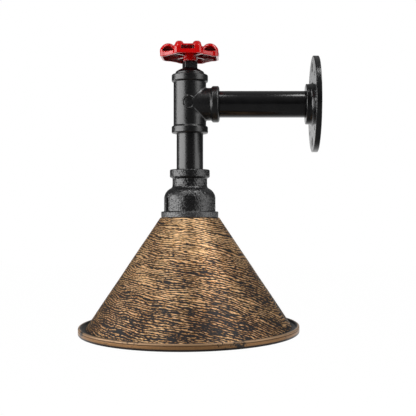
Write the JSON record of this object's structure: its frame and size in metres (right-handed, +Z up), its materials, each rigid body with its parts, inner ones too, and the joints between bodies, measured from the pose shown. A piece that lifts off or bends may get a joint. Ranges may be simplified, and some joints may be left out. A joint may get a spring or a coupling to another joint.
{
  "type": "wall light",
  "caption": "Wall light of black pipe fittings: a flange, an arm and a tee with a red valve wheel that works a switch, over a copper cone shade.",
  "frame": {"origin": "centre of the wall flange's back face, which is the wall's surface", "axes": "+X points into the wall, so the arm runs along -X; +Z is up; the front faces -Y"},
  "size_m": [0.2394, 0.2208, 0.2884],
  "materials": {
    "black_cast": "satin black over smooth casting",
    "black_pipe": "satin black steel pipe",
    "rough_cast": "black over rough sand casting",
    "red_enamel": "glossy red enamel",
    "antique_copper": "copper brushed over black",
    "steel": "plain steel",
    "zinc": "zinc-plated steel",
    "brass_part": "plain brass",
    "black_plastic": "matt",
    "white_ceramic": "glazed white",
    "bulb_clear": "clear",
    "bulb_black_glass": "black insulating glass",
    "filament": "yellow phosphor on glass sticks",
    "nickel": "plain threaded aluminium",
    "wire_brown": "brown insulation",
    "wire_black": "black insulation",
    "wire_blue": "blue insulation",
    "wire_green": "green and yellow insulation",
    "connector_white": "white"
  },
  "bodies": {
    "light": {"wall_flange": "black_cast", "arm_pipe": "black_pipe", "pipe_tee": "black_cast", "drop_pipe": "black_pipe", "reducing_socket": "rough_cast", "tee_plug": "black_cast", "lamp_shade": "antique_copper", "switch_housing": "black_plastic", "switch_cover": "black_plastic", "switch_contacts": "brass_part", "holder_bushing": "zinc", "threaded_tube": "zinc", "tube_locknut": "zinc", "earth_tag": "brass_part", "holder_cap": "black_plastic", "holder_body": "black_plastic", "holder_insert": "white_ceramic", "screw_shell": "brass_part", "centre_contact": "brass_part", "terminal_blocks": "brass_part", "terminal_screws": "zinc", "shade_ring": "black_plastic", "bulb_glass": "bulb_clear", "bulb_cap": "nickel", "bulb_insulator": "bulb_black_glass", "bulb_contact": "brass_part", "bulb_stem": "bulb_clear", "bulb_filaments": "filament", "supply_connector": "connector_white", "live_wire": "wire_brown", "switched_wire": "wire_black", "neutral_wire": "wire_blue", "earth_wire": "wire_green"},
    "wheel": {"valve_wheel": "red_enamel", "wheel_washer": "zinc", "wheel_screw": "zinc", "switch_shaft": "steel", "switch_rotor": "black_plastic"}
  },
  "joints": [
    {"name": "wheel_turn", "type": "hinge", "parent": "light", "child": "wheel", "pos_m": [-0.129, 0, 0.05], "axis": [0, 0, 1], "continuous": true}
  ]
}
